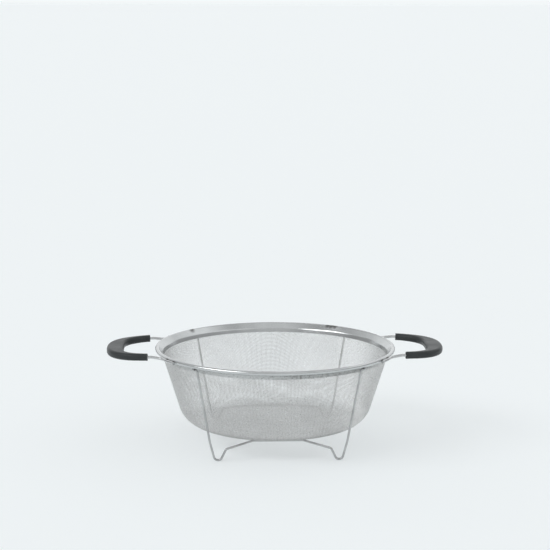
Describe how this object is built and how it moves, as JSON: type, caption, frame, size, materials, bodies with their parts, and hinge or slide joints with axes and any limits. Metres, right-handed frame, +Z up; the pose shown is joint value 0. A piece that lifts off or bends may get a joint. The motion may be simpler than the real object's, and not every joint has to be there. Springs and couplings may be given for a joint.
{
  "type": "mesh basket strainer",
  "caption": "Round woven-mesh basket strainer with a flared rolled rim, looped wire handles with moulded grips, and bent wire feet that hold the bowl off the worktop.",
  "frame": {"origin": "on the bowl axis, in the plane the feet stand on", "axes": "+Z up along the bowl axis, +X through the right handle, +Y towards the back stand"},
  "size_m": [0.392, 0.28, 0.1153],
  "materials": {
    "rim_steel": "polished stainless steel",
    "mesh_steel": "woven stainless wire cloth",
    "wire_steel": "bright drawn stainless wire",
    "grip_rubber": "satin moulded rubber",
    "weld_steel": "resistance weld, slightly tinted"
  },
  "bodies": {
    "root": {"rim_band": "rim_steel", "mesh_bowl": "mesh_steel", "handle_wire_left": "wire_steel", "handle_wire_right": "wire_steel", "grip_left": "grip_rubber", "grip_right": "grip_rubber", "stand_wire_front": "wire_steel", "stand_wire_back": "wire_steel", "handle_weld_beads": "weld_steel", "stand_weld_beads": "weld_steel"}
  },
  "joints": []
}
